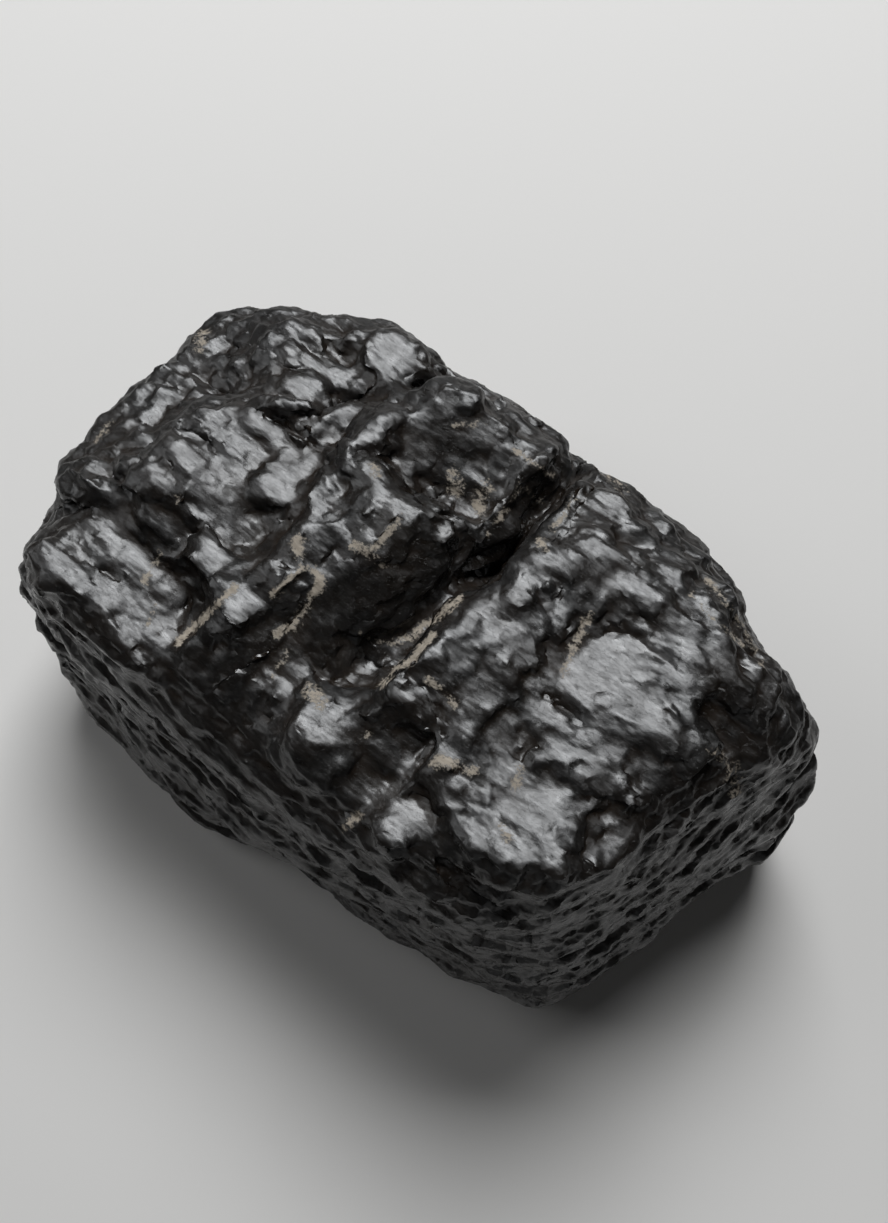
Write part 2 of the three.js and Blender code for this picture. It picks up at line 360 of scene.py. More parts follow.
# Faces on top: middle x and y, half size along and across, turn in degrees, how far it stands up
# from what is drawn before it, slope along X and Y beyond the lit slope, width of its edge, how
# smooth it is.
FACES = (
    # broad lie of the ground: bright flanks, then the dark ones of the trough
    (-38.5, 2, 6.5, 11, 0, -0.7, 0.1, 0.02, 3.5, 0.1),
    (-38, 14.5, 6, 4, 8, -0.75, 0.09, 0, 3.5, 0.1),
    (-27, 0, 10, 9, 0, -0.2, -0.06, 0.08, 3.5, 0.15),
    (-28, 16.5, 8, 4.5, 6, -0.3, -0.05, 0.07, 3, 0.15),
    (-27, -16, 10, 6, -4, 0.9, -0.06, 0.05, 2.2, 0.15),
    (9.5, -1, 6.5, 15, 0, -0.9, -0.16, 0.15, 3, 0.1),
    (20.5, -1, 8, 15.5, 0, -0.5, -0.06, 0.1, 3, 0.15),
    (-7.5, 17, 7, 6, 0, -0.3, -0.24, 0.26, 2.5, 0.1),
    (-4, 1, 5.5, 9.5, 0, -0.3, -0.4, 0.34, 2, 0.3),
    (1, 14.5, 3, 8, -3, -0.5, -0.44, 0.22, 1.5, 0.3),
    (3.5, -15, 6.5, 5, 0, -0.2, -0.36, 0.3, 2, 0.25),
    (-0.4, -14.4, 1.9, 1.7, 0, -0.1, -0.22, 0.18, 0.6, 0.4),
    # central slab and what lies round it
    (-26.6, 3.8, 2.8, 3.4, 0, 0.1, -0.14, 0.08, 1.2, 0.6),
    (-26, 7.3, 4.4, 1.2, 0, 0.3, -0.03, 0.02, 0.5, 0.8),
    (-20.7, 4.6, 3.3, 4.5, -22, 0.3, 0, 0, 0.8, 0.85),
    (-15.9, 5.2, 2.2, 3.2, -8, 0, -0.2, 0.06, 0.7, 0.45),
    (-15.7, 8.3, 1.2, 0.9, 0, 0.19, 0, 0, 0.3, 0.9),
    (-11.3, 7, 0.9, 2.2, 8, 0.3, 0.02, 0, 0.3, 0.8),
    (-24, -2.6, 5.8, 2.3, 0, -0.1, -0.19, 0.12, 0.5, 0.55),
    (-21.3, -7.6, 3.1, 2.1, 0, 0.25, -0.02, 0.02, 0.4, 0.9),
    (-31.8, -0.6, 3.3, 1.9, -8, 0.55, 0, 0, 0.3, 0.95),
    (-32.2, -4, 1.9, 1.1, 0, 0.1, -0.1, 0.06, 0.35, 0.7),
    (-28.5, -3, 0.4, 2.5, 4, 0.35, 0, 0, 0.25, 0.8),
    (-33.8, -7.2, 1.1, 0.5, -5, 0.14, 0, 0, 0.25, 0.9),
    # blunt end
    (-39.3, 8.3, 2.1, 0.8, 0, 0.3, 0, 0, 0.3, 0.9),
    (-45.3, 11.8, 0.7, 2.2, 4, 0.2, 0, 0, 0.4, 0.8),
    (-41.3, 10.6, 2.3, 0.7, 0, -0.55, -0.1, 0.4, 0.4, 0.6),
    (-45.2, -4.8, 0.9, 0.5, 0, 0.2, 0, 0, 0.3, 0.8),
    (-38, -0.8, 2.6, 1.2, 0, -0.2, -0.26, 0.18, 0.6, 0.5),
    (-36.6, -4, 1.7, 1.1, 0, 0.1, -0.08, 0.02, 0.4, 0.6),
    (-38.6, -6.6, 3.4, 0.6, 0, 0.25, -0.03, 0.02, 0.3, 0.7),
    (-41.5, 2, 2.2, 0.8, -12, 0.2, -0.08, 0.04, 0.4, 0.5),
    (-37.6, 3.3, 1.2, 0.5, -15, 0.15, -0.02, 0, 0.3, 0.6),
    (-42.5, 0.6, 1.3, 0.5, -10, 0.15, -0.02, 0, 0.3, 0.6),
    (-33, -8.7, 8.6, 1.2, 0, -0.12, -0.06, 0.18, 0.6, 0.4),
    (-28, -7.6, 3.8, 1.7, 0, 0.1, -0.06, 0.12, 0.6, 0.5),
    (-41.2, -8.7, 0.7, 0.5, -30, 0.2, 0, 0, 0.2, 0.9),
    # lower left
    (-38.3, -12, 2.3, 0.9, 0, 0.25, 0, 0, 0.4, 0.7),
    (-33.4, -12.1, 1.8, 0.8, 0, 0.2, -0.02, 0, 0.3, 0.7),
    (-27.6, -12.3, 2.7, 1.6, 0, 0.3, -0.03, 0.02, 0.4, 0.75),
    (-36.7, -14.4, 0.7, 0.5, 0, 0.2, 0, 0, 0.25, 0.8),
    (-29.4, -18.1, 2, 1.2, 0, 0.25, -0.02, 0, 0.4, 0.5),
    (-26, -21, 3.4, 1.1, -5, 0.2, 0, 0, 0.5, 0.5),
    (-22.8, -12.3, 1.6, 2.3, 0, 0, -0.2, 0.1, 0.4, 0.8),
    (-19, -13, 0.7, 2, 0, 0.2, 0, 0, 0.3, 0.6),
    (-14.3, -10.1, 1.8, 2.5, 8, 0.35, -0.02, 0, 0.3, 0.95),
    (-14.1, -13.2, 0.6, 0.6, 0, 0.14, 0, 0, 0.2, 1),
    (-12.5, -12.9, 0.6, 0.6, 0, 0.14, 0, 0, 0.2, 1),
    (-18.7, -20.4, 1.4, 0.7, -30, 0.25, 0, 0, 0.3, 0.7),
    # upper left block
    (-26.6, 13.5, 3, 2.2, 14, 0.75, 0, 0, 0.3, 0.65),
    (-26.2, 10.8, 2.5, 1.1, 20, 0.55, 0, 0, 0.25, 0.75),
    (-28.6, 9.2, 0.9, 0.6, 10, 0.17, 0, 0, 0.25, 0.8),
    (-20.7, 12.5, 2.2, 2.9, 0, -0.8, -0.3, 0.14, 0.5, 0.45),
    (-22.6, 17.3, 2.6, 1.4, 20, 0.2, 0.02, 0, 0.4, 0.45),
    (-21, 21.6, 3.1, 2.6, 14, 0.4, 0, 0, 0.4, 0.92),
    (-34.2, 16.6, 1.3, 0.8, 0, 0.19, 0, 0, 0.25, 0.75),
    (-31, 16.2, 1.5, 0.9, 8, 0.35, 0, 0, 0.25, 0.7),
    (-38.7, 16, 0.9, 0.9, 0, 0.19, 0, 0, 0.25, 0.7),
    (-41.5, 18.6, 1.2, 0.5, 10, 0.14, 0, 0, 0.25, 0.8),
    (-36.5, 18, 1.4, 0.8, 0, 0.3, 0, 0, 0.25, 0.6),
    (-28.5, 21.4, 1.6, 0.9, 20, 0.35, 0, 0, 0.25, 0.6),
    (-26.3, 21, 1, 0.8, 20, 0.22, 0, 0, 0.25, 0.8),
    (-37.5, 10.3, 1.3, 0.7, -35, 0.17, 0, 0, 0.25, 0.8),
    (-33.4, 8.3, 0.8, 0.6, 0, 0.17, 0, 0, 0.25, 0.9),
    (-35.5, 12.6, 2, 1.2, -20, 0.15, -0.08, 0.04, 0.4, 0.4),
    # middle of the far side
    (-16.2, 13.4, 1.4, 3.1, -6, 0.35, -0.02, 0, 0.3, 0.92),
    (-18.5, 13.4, 0.5, 3.2, 0, 0.25, -0.08, 0, 0.25, 0.7),
    (-11.8, 13, 2.3, 1.8, -20, -0.2, -0.28, 0.08, 0.4, 0.65),
    (-16.7, 22, 0.7, 0.9, -15, 0.28, 0, 0, 0.25, 0.95),
    (-14.7, 18.9, 1.1, 0.7, 10, 0.22, 0, 0, 0.25, 0.95),
    (-17.2, 17.5, 1.1, 0.7, 0, 0.19, 0, 0, 0.25, 0.8),
    (-13.4, 17.6, 1, 0.5, 0, 0.14, 0, 0, 0.25, 0.7),
    (-11.2, 17.7, 1.2, 0.6, 8, 0.14, 0, 0, 0.25, 0.7),
    (-11.4, 20.9, 1.5, 0.6, 15, 0.25, 0, 0, 0.25, 0.6),
    (-7.8, 23.6, 0.9, 1.4, 0, -0.2, -0.4, 0.1, 0.3, 0.6),
    (-3.5, 23.4, 1.5, 1.2, 20, 0.3, 0, 0, 0.3, 0.6),
    (-2.5, 16.6, 1.5, 1.2, 0, -0.2, -0.4, 0.2, 0.3, 0.5),
    (-3, 8.4, 1.3, 1.3, 30, 0.33, 0, 0, 0.25, 0.85),
    # ridge and chips right of the groove
    (4.6, 22.4, 0.9, 1.8, 0, 0.55, 0, 0, 0.3, 0.8),
    (5.1, 17.2, 0.6, 4, 4, 0.55, 0.02, 0, 0.3, 0.65),
    (8.2, 20.9, 1.8, 1.1, -8, 0.3, 0, 0.02, 0.3, 0.7),
    (9.6, 16.3, 0.8, 2.1, -25, 0.25, 0, 0, 0.3, 0.7),
    (8.8, 13, 1.3, 1.5, 0, 0.1, -0.08, 0.02, 0.4, 0.55),
    (12.9, 19, 1.8, 1.3, 0, -0.2, -0.35, 0.15, 0.4, 0.6),
    (12.3, 14.4, 1.6, 2.2, 0, -0.3, -0.35, 0.15, 0.4, 0.6),
    (15.3, 11.7, 1.1, 0.7, 0, 0.19, 0, 0, 0.25, 0.8),
    (17.2, 14.9, 1.1, 1.3, -30, 0.19, 0, 0, 0.3, 0.8),
    (22.3, 13, 1.8, 1.4, 0, 0.2, -0.05, 0, 0.5, 0.6),
    (6.3, 8, 1.3, 1.4, -15, 0.35, 0, 0, 0.3, 0.7),
    (13, 8.4, 0.6, 1.9, 0, 0.35, 0, 0, 0.25, 0.8),
    (9.9, 1.8, 0.45, 1.4, 22, 0.35, 0, 0, 0.25, 0.8),
    (4.4, 3, 1, 1.6, 0, 0.1, -0.1, 0.04, 0.4, 0.4),
    (5.6, -1.8, 2.2, 1.8, 0, 0.05, -0.19, 0.1, 0.5, 0.55),
    (4, -7.6, 1.9, 0.6, 0, 0.2, -0.02, 0, 0.3, 0.8),
    (2.1, -10.4, 1, 1.1, 0, 0.17, 0, 0, 0.25, 0.8),
    (7.4, -11.6, 2.2, 2.8, 0, -0.3, -0.35, 0.2, 0.5, 0.65),
    (11.8, -10.4, 0.9, 0.5, 20, 0.17, 0, 0, 0.25, 0.8),
    (13.8, -9.6, 0.6, 0.6, 0, 0.17, 0, 0, 0.25, 0.8),
    (12.2, -16.9, 2.4, 3.8, -18, 0.15, -0.02, 0.02, 0.9, 0.65),
    (15.6, -13, 2.4, 0.7, 15, 0.25, 0, 0, 0.3, 0.7),
    (8.4, -20, 0.5, 1.2, -20, 0.14, 0, 0, 0.25, 0.8),
    (-5.8, -13.8, 1, 1.8, 0, 0.35, 0, 0, 0.3, 0.85),
    (-3, -12.5, 1.4, 1.1, 0, 0.2, -0.1, 0.06, 0.3, 0.4),
    (-5, -18, 0.7, 1.4, 0, 0.2, -0.04, 0, 0.3, 0.6),
    # high hump
    (18.2, 6.4, 4, 4.6, -4, 0.12, 0, 0, 1.6, 0.7),
    (25.2, 5.2, 3.2, 2.6, 14, 0.05, -0.06, 0.02, 1.2, 0.6),
    (21.9, 8.7, 0.7, 0.6, 20, 0.17, 0, 0, 0.25, 0.9),
    (25.3, 7.1, 1.6, 0.4, -10, 0.35, 0, 0, 0.2, 0.9),
    (22.7, 0.3, 2.1, 1.2, 0, -0.05, -0.14, 0.08, 0.6, 0.55),
    (19.7, -3.8, 1.9, 2.2, 10, 0.25, 0, 0, 0.5, 0.85),
    (22.9, -2.8, 1.2, 1.6, 10, 0.1, -0.04, 0.02, 0.5, 0.6),
    (15.4, -4.6, 2.2, 1.9, 0, -0.4, -0.34, 0.22, 0.5, 0.4),
    (15, -7.6, 1.9, 1.4, 0, -0.2, -0.24, 0.16, 0.5, 0.4),
    (23.4, -8.4, 4.8, 4.2, 0, 0.1, -0.01, 0.01, 1.8, 0.6),
    (19.8, -13.6, 4.2, 2.2, 15, 0.1, -0.02, 0.02, 1, 0.5),
    (28, -7, 2.2, 4.2, 0, 0, -0.09, 0.04, 1, 0.5),
    (28.2, 1.2, 3.2, 1.9, 0, -0.6, -0.38, 0.18, 0.4, 0.4),
    (27.4, -2.3, 1.3, 0.9, -35, 0.17, 0, 0, 0.2, 1),
    (25.9, -1.8, 0.6, 0.4, 0, 0.14, 0, 0, 0.2, 1),
    (29.3, -1.8, 0.55, 0.5, 0, 0.14, 0, 0, 0.2, 1),
    (31.6, -1.8, 0.9, 0.65, 15, 0.14, 0, 0, 0.2, 1),
    (30.7, -11.1, 0.75, 0.65, 0, 0.19, 0, 0, 0.2, 1),
    (33.7, -5.6, 0.6, 0.45, -40, 0.17, -0.02, 0, 0.2, 0.9),
    (21, 0.6, 0.55, 0.55, 0, 0.19, 0, 0, 0.2, 1),
    # pointed end
    (31.8, 9.2, 4.8, 1.9, -8, -0.6, -0.4, 0.2, 0.4, 0.8),
    (21.7, 17.9, 0.45, 1.4, 32, 0.35, 0, 0, 0.2, 0.9),
)

# Crevices on top: half width, depth, and the points that it runs through.
CREVICES = (
    (3.4, 2, ((2.6, 12), (1.8, 8), (0.6, 3), (-0.4, -3), (-1, -9), (-1.6, -13))),
    (2.6, 1.4, ((3, 26), (3, 20), (2.8, 14), (2.2, 9))),
    (0.45, 1.3, ((-28.4, 8.7), (-24, 9.1), (-20, 9.2), (-17.6, 9.4))),
    (0.6, 0.9, ((-45.5, 9.7), (-41, 9.6), (-37, 9.2), (-33, 9.7), (-30, 10.4))),
    (0.22, 0.5, ((-25.5, -5.2), (-22, -5.1), (-18, -5))),
    (0.8, 1.2, ((-35.6, 0.8), (-34, 2.1), (-32, 2.6), (-29.8, 2.2))),
    (0.4, 0.7, ((-35, -2.4), (-34, -1.8), (-32.8, -1.9), (-31.4, -2.7))),
    (0.35, 0.8, ((-35.6, -13.5), (-33.5, -14.8), (-31, -16), (-29, -15.6), (-26.8, -15.2))),
    (0.35, 0.5, ((-20.8, -10.2), (-20.7, -13.2))),
    (1, 1.7, ((-25.2, 9.6), (-23.4, 10.8), (-22.9, 13), (-22, 15.3), (-20.3, 17.2))),
    (0.45, 0.6, ((-30.6, 11.4), (-28.5, 11.5), (-26.5, 11.8))),
    (0.4, 0.6, ((-34, 17.6), (-30, 17.8), (-26.6, 18.1))),
    (0.35, 0.5, ((-41.5, 15), (-37, 14.6))),
    (1.1, 1.3, ((-27.6, 19), (-25.2, 19.8))),
    (0.2, 0.5, ((-17.8, 9.6), (-17.8, 17))),
    (0.7, 1.4, ((-16.9, 9.5), (-15.2, 11.4), (-13.3, 13.1))),
    (0.7, 1.2, ((-7.2, 13.7), (-8.7, 11.2), (-10, 10.2))),
    (0.7, 1.2, ((-10.5, 9.9), (-6, 10.1), (-3, 10.8), (0, 10.2))),
    (1.2, 2.4, ((-17.5, 19.6), (-16, 21), (-14.4, 22.3), (-12.3, 23.1), (-9.8, 23.1))),
    (0.9, 1.3, ((-11.9, 0.7), (-11, -0.8))),
    (0.45, 0.7, ((-18.2, 1), (-15.6, 1.1))),
    (0.45, 0.6, ((-18.6, -3.6), (-15.2, -3.7), (-12.6, -3.1))),
    (1.5, 1.6, ((3, 24.6), (2.9, 20), (2.6, 16), (2, 12), (0.9, 8.4), (0.2, 6))),
    (0.35, 1, ((6, 22.8), (6.2, 18), (6.6, 13.6))),
    (0.65, 1, ((6.9, 16.8), (6.9, 13.8))),
    (0.5, 0.8, ((9.9, 11.5), (9.4, 9))),
    (0.5, 0.7, ((2.6, -6.1), (5, -5.7), (8, -6.3), (11, -8.4))),
    (0.35, 0.5, ((15, 9.8), (18, 11.2), (22, 10.9), (25, 10))),
    (0.45, 1.1, ((15.2, 1.2), (17, 1.6), (19.9, 1.1))),
    (1.2, 1.9, ((15.4, -17.1), (19, -17.8), (24, -17.3), (30, -16.8), (32.5, -17.6))),
    (0.6, 1, ((-5.2, -5.8), (0.6, -5.9))),
    (0.5, 0.8, ((-9, -11), (-10.2, -14), (-11.8, -18.6))),
    (0.4, 0.7, ((6.8, 5), (7.8, 5))),
    (0.4, 0.6, ((11.6, 5.3), (12.6, 4.7))),
)

# Narrow raised lines on top: half width, height, half width and strength of the pale mineral film
# that lies on them, and the points that each runs through.
RIDGES = (
    (0.4, 0.45, 0.45, 0.9, ((-12.3, -3), (-12.7, -5.5), (-13, -7.4))),
    (0.4, 0.5, 0.5, 1, ((-11.6, -2.4), (-10, -2.5), (-9.6, -5), (-9.4, -8.4), (-9.8, -10))),
    (0.4, 0.45, 0.45, 1, ((-16.4, -9), (-16.7, -13.5), (-17.1, -16.8))),
    (0.45, 0.5, 0.45, 0.9, ((-8, 7.4), (-8, 3))),
    (0.4, 0.4, 0, 0, ((-9.8, 2), (-6, 2.3))),
    (0.35, 0.35, 0, 0, ((-6.6, 25), (-6.3, 20))),
    (0.35, 0.4, 0, 0, ((2.4, 3.8), (2, 1), (1.2, -0.6), (1, -2.4), (0, -3.6), (-3, -5))),
    (0.4, 0.45, 0, 0, ((2.7, -0.9), (2.8, -4.2), (2, -5.6), (2, -8), (2.8, -9))),
    (0.35, 0.6, 0, 0, ((36.8, 5.3), (38, 7.6), (38.8, 9.8))),
    (0.35, 0.35, 0.35, 0.8, ((-25.4, -10.7), (-24.8, -12.2), (-24.3, -14.8))),
    (0.3, 0.3, 0.35, 0.7, ((-21.6, -15.2), (-20.7, -17.2))),
    (0.3, 0.3, 0.35, 0.7, ((-3.4, 20.6), (-1, 20.4), (1.6, 20.2))),
    (0.3, 0.3, 0.35, 0.6, ((-0.6, 17.7), (2.6, 17.2))),
    (0.3, 0.35, 0, 0, ((0, 18), (0.4, 11))),
)

# Other mineral films on top: half width, strength, and the points that each runs through.
FILMS = (
    (0.8, 1, ((-14.6, -1.2), (-13.8, -2.3))),
    (0.6, 0.8, ((-9.8, 2), (-8.4, 2.6))),
    (0.5, 0.6, ((-8.4, 2.2), (-6, 2.3))),
    (0.55, 0.9, ((2.4, 3.8), (2, 1), (1.2, -0.6), (1, -2.4), (0, -3.6))),
    (0.35, 0.6, ((0, -3.8), (-3, -5))),
    (0.45, 0.9, ((2.7, -0.9), (2.8, -4.2), (2, -5.6), (2, -8))),
    (0.6, 0.8, ((5.4, -4.8), (6.6, -4.9))),
    (0.5, 0.7, ((8, -5), (9, -5.4))),
    (0.6, 0.8, ((5.3, 13.4), (6.2, 12.6))),
    (0.4, 0.6, ((5.2, 20), (5.4, 15))),
    (0.5, 0.8, ((13.8, 9.8), (14.2, 7), (14.8, 4.8), (15.6, 3.4))),
    (0.45, 0.7, ((3.9, -12.6), (3.6, -14))),
    (0.8, 0.7, ((-3.8, -12.4), (-1.6, -13.2))),
    (0.6, 0.7, ((8.6, -19.2), (8.1, -20.8))),
    (0.7, 0.7, ((11, -10.7), (12.6, -9.9))),
    (0.6, 0.6, ((13.4, -9.8), (14.2, -9.3))),
    (0.35, 0.6, ((-7.9, -10.6), (-7.3, -13.6))),
    (0.5, 0.7, ((17.6, -6.6), (18.4, -8.8))),
    (0.7, 0.6, ((19.6, -11.8), (20.6, -12.4))),
    (1, 0.7, ((-6.8, 14.6), (-5.4, 13.2))),
    (1, 0.6, ((-3.4, 15.6), (-2, 13))),
    (0.45, 0.6, ((0, 17), (0.4, 11))),
    (0.45, 0.6, ((-8, 21.4), (-10, 19.2))),
    (0.6, 0.6, ((-13.9, 9.9), (-13.1, 9.6))),
    (1.2, 0.6, ((-44.2, 14.4), (-42.4, 12.6))),
    (0.8, 0.5, ((-45.3, -1), (-44.6, -3.2))),
    (0.45, 0.5, ((-28.8, -4.6), (-28.4, -5.6))),
    (1, 0.5, ((33.4, 6.4), (35, 5))),
    (0.5, 0.6, ((30.4, 6.4), (33, 6.2))),
    (0.5, 0.5, ((21, 19.4), (25, 18.2), (30, 16.6))),
    (0.4, 0.5, ((20.6, 17.2), (24, 16.4), (27.4, 16.4))),
    (0.6, 0.5, ((6.2, 23.4), (8.8, 22.6))),
)

# Where the outline is fuller or hollower than the CAD lump: middle x and y, reach, and how far out.
BULGES = (
    (38.6, 13.6, 4, 1.4),
    (28, 19, 4.5, -1.3),
    (-43.5, -15, 4, -1.6),
    (-35.5, -21.8, 4, 1),
    (-15.2, 24.6, 3, -1),
    (-30.5, 23.5, 3, -0.8),
    (41, 4, 4, 0.8),
)

# Colours
COAL_BLACK = (0.0042, 0.0036, 0.0031, 1)
COAL_BROWN = (0.0110, 0.0072, 0.0045, 1)
FILM_DARK = (0.16, 0.125, 0.085, 1)
FILM_PALE = (0.48, 0.43, 0.36, 1)
FLOOR_COLOUR = (0.67, 0.655, 0.635, 1)
BACKDROP_COLOUR = (0.62, 0.62, 0.62, 1)
LIGHT_COLOUR = (0.96, 0.98, 1.0)

# Relief too fine for the mesh
BUMP_WAVES = 0.3
BUMP_CHIPS = 0.05
BUMP_FINE_CHIPS = 0.022
BUMP_STREAKS = 0.011
BUMP_GRAIN = 0.01

# The lights: name, way to it, distance, side, and power in watts.
LIGHTS = (
    ("window", (-0.33, 0.53, 0.80), 700, 350, 5.3),
    ("second_window", (-0.70, -0.22, 0.68), 700, 300, 0.7),
    ("fill", (0.55, -0.75, 0.50), 700, 500, 0.2),
)

# How light the dark room is at the horizon and above it
ROOM_LOW = 0.05
ROOM_HIGH = 0.009

# The floor and the camera
FLOOR_SIDE = 1600
CAMERA_AT = (24.591, -26.916, 146.087)
CAMERA_BACK = (0.1902, -0.2435, 0.9511)
CAMERA_LENS = 34.58
CAMERA_SENSOR = 36


# ---- arithmetic and repeatable noise


def length(rows):
    return np.linalg.norm(rows, axis=1)


def unit(rows):
    """The rows, each made one long."""
    return rows / length(rows)[:, None]


def mixed(number):
    """Scrambles whole numbers so that near ones share nothing."""
    number = (number ^ (number >> np.uint32(16))) * np.uint32(0x7FEB352D)
    number = (number ^ (number >> np.uint32(15))) * np.uint32(0x846CA68B)
    return number ^ (number >> np.uint32(16))


def chance(cells, salt):
    """A repeatable number from 0 to 1 for each cell of a lattice, another one for each salt."""
    whole = cells.astype(np.int64).astype(np.uint32)
    key = whole[:, 0] * np.uint32(73856093)
    key = key ^ (whole[:, 1] * np.uint32(19349663))
    key = key ^ (whole[:, 2] * np.uint32(83492791))
    return mixed(key + np.uint32(salt * 7919 + 17)) / np.float64(2**32)


def chances(cells, salt, count=3):
    """Several such numbers for each cell."""
    return np.stack([chance(cells, salt + number) for number in range(count)], 1)


def eased(share):
    """A ramp from 0 to 1 that starts and ends level."""
    share = np.clip(share, 0, 1)
    return share * share * (3 - 2 * share)


def noise(points, size, salt):
    """Smooth noise from -1 to 1. size is the wavelength along each axis."""
    scaled = points / size
    home = np.floor(scaled)
    part = eased(scaled - home)
    total = np.zeros(len(points))
    for corner in np.ndindex(2, 2, 2):
        weight = np.ones(len(points))
        for axis in range(3):
            weight *= part[:, axis] if corner[axis] else 1 - part[:, axis]
        total += weight * chance(home + corner, salt)
    return total * 2 - 1


def waves(points, rows, salt):
    """The sum of several noises, each with its size and height."""
    return sum(high * noise(points, size, number) for number, (size, high) in enumerate(rows, salt))


def two_nearest(points, size, salt):
    """The two blocks nearest to each point: their cells, the way from their middles, how far."""
    scaled = points / size
    home = np.floor(scaled)
    near = [np.zeros(home.shape), np.zeros(home.shape), np.full(len(points), FAR)]
    next_near = [kept.copy() for kept in near]
    for step in np.ndindex(3, 3, 3):
        cell = home + (np.array(step) - 1)
        away = scaled - cell - (MARGIN + (1 - 2 * MARGIN) * chances(cell, salt))
        far = (np.abs(away) ** BOXINESS).sum(1) ** (1 / BOXINESS)
        closest = far < near[2]
        second = (far < next_near[2]) & ~closest
        for kept, found in zip(range(3), (cell, away, far)):
            next_near[kept][closest] = near[kept][closest]
            near[kept][closest] = found[closest]
            next_near[kept][second] = found[second]
    return near, next_near


def cell_key(cells):
    """One whole number for each cell that is less than 512 cells from the origin."""
    whole = cells.astype(np.int64) + 512
    return (whole[:, 0] << 20) + (whole[:, 1] << 10) + whole[:, 2]


def mean_by(label, values, count):
    """The mean of the values that share a label."""
    held = np.maximum(np.bincount(label, minlength=count), 1)
    sums = [np.bincount(label, values[:, axis], count) for axis in range(values.shape[1])]
    return np.stack(sums, 1) / held[:, None]


def broken_faces(points, bent, normals, facing, block, salt):
    """How far each point moves along its normal to lie on its own block's flat face."""
    size, most, step, lean = block
    near, next_near = two_nearest(bent, size, salt)
    keys, label = np.unique(cell_key(near[0]), return_inverse=True)
    middle = mean_by(label, points, len(keys))
    facing = mean_by(label, facing, len(keys))
    moves = []
    for cells, own in ((near[0], label), (next_near[0], None)):
        if own is None:
            own = np.minimum(np.searchsorted(keys, cell_key(cells)), len(keys) - 1)
            known = keys[own] == cell_key(cells)
            own = np.where(known, own, label)
        face = unit(facing[own] + (chances(cells, salt + 4) * 2 - 1) * lean)
        along = np.maximum((face * normals).sum(1), 0.5)
        move = ((middle[own] - points) * face).sum(1) / along
        move += (chance(cells, salt + 3) * 2 - 1) * step
        moves.append(most * np.tanh(move / most))
    level = np.clip(1 - abs(moves[0] - moves[1]) / (SMALL_STEP * size[0]), 0, 1)
    luck = (chance(near[0], salt + 8) + chance(next_near[0], salt + 8)) % 1
    width = SEAM + WIDER_SEAM * level * luck
    seam = 0.5 * (1 - eased((next_near[2] - near[2]) / width))
    return moves[0] * (1 - seam) + moves[1] * seam


# ---- mesh helpers


def read(items, name, columns, kind=float):
    """One row of numbers for each vertex or edge."""
    flat = np.empty(len(items) * columns, kind)
    items.foreach_get(name, flat)
    return flat.reshape(-1, columns)


def points_of(mesh):
    return read(mesh.vertices, "co", 3)


def normals_of(mesh):
    return read(mesh.vertex_normals, "vector", 3)


def edges_of(mesh):
    return read(mesh.edges, "vertices", 2, np.int32)


def set_points(mesh, points):
    mesh.vertices.foreach_set("co", points.ravel())
    mesh.update()


def averaged(values, edges):
    """Each vertex gets the mean of its neighbours' values."""
    ends = np.concatenate([edges[:, 0], edges[:, 1]])
    others = np.concatenate([edges[:, 1], edges[:, 0]])
    return mean_by(ends, values[others], len(values))


def smoothed(values, edges, rounds, share=0.5):
    for _ in range(rounds):
        values = values + share * (averaged(values, edges) - values)
    return values


def without_spikes(points, edges):
    """Pulls vertices that stand off their neighbours back to them."""
    for _ in range(SPIKE_ROUNDS):
        way = averaged(points, edges) - points
        share = np.clip(length(way) / SPIKE - 1, 0, 1)
        points = points + way * share[:, None]
    return points


def smooth(mesh, rounds, share=0.5):
    set_points(mesh, smoothed(points_of(mesh), edges_of(mesh), rounds, share))


def link(thing):
    bpy.context.scene.collection.objects.link(thing)


def with_modifier(mesh, kind, **settings):
    """The mesh after one modifier."""
    thing = bpy.data.objects.new("in_work", mesh)
    link(thing)
    modifier = thing.modifiers.new(kind, kind)
    for name, value in settings.items():
        setattr(modifier, name, value)
    graph = bpy.context.evaluated_depsgraph_get()
    changed = bpy.data.meshes.new_from_object(thing.evaluated_get(graph))
    bpy.data.objects.remove(thing)
    bpy.data.meshes.remove(mesh)
    return changed


def remeshed(mesh, voxel):
    return with_modifier(mesh, "REMESH", mode="VOXEL", voxel_size=voxel)


def parts_of(mesh):
    """A number for each vertex that is the same all over one joined part of the mesh."""
    first, second = edges_of(mesh).T
    label = np.arange(len(mesh.vertices))
    while True:
        lowest = np.minimum(label[first], label[second])
        found = label.copy()
        np.minimum.at(found, label[first], lowest)
        np.minimum.at(found, label[second], lowest)
        found = found[found]
        if (found == label).all():
            return label
        label = found


def without_crumbs(mesh):
    """Takes away all but the largest joined part."""
    label = parts_of(mesh)
    loose = np.flatnonzero(label != np.bincount(label).argmax())
    shape = bmesh.new()
    shape.from_mesh(mesh)
    shape.verts.ensure_lookup_table()
    bmesh.ops.delete(shape, geom=[shape.verts[number] for number in loose], context="VERTS")
    shape.to_mesh(mesh)
    shape.free()


# ---- the lump


def cad_shape():
    """The CAD lump in millimetres, remeshed evenly and with its facets smoothed away."""
    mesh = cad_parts["coal_lump"].data.copy()
    set_points(mesh, points_of(mesh) / MM)
    mesh = remeshed(mesh, FIRST_VOXEL)
    points = points_of(mesh)
    for spot, facing in WORN_CORNERS:
        facing = np.array(facing) / np.linalg.norm(facing)
        beyond = np.maximum((points - spot) @ facing, 0)
        points -= beyond[:, None] * facing
    set_points(mesh, points)
    smooth(mesh, FIRST_SMOOTHING)
    return mesh


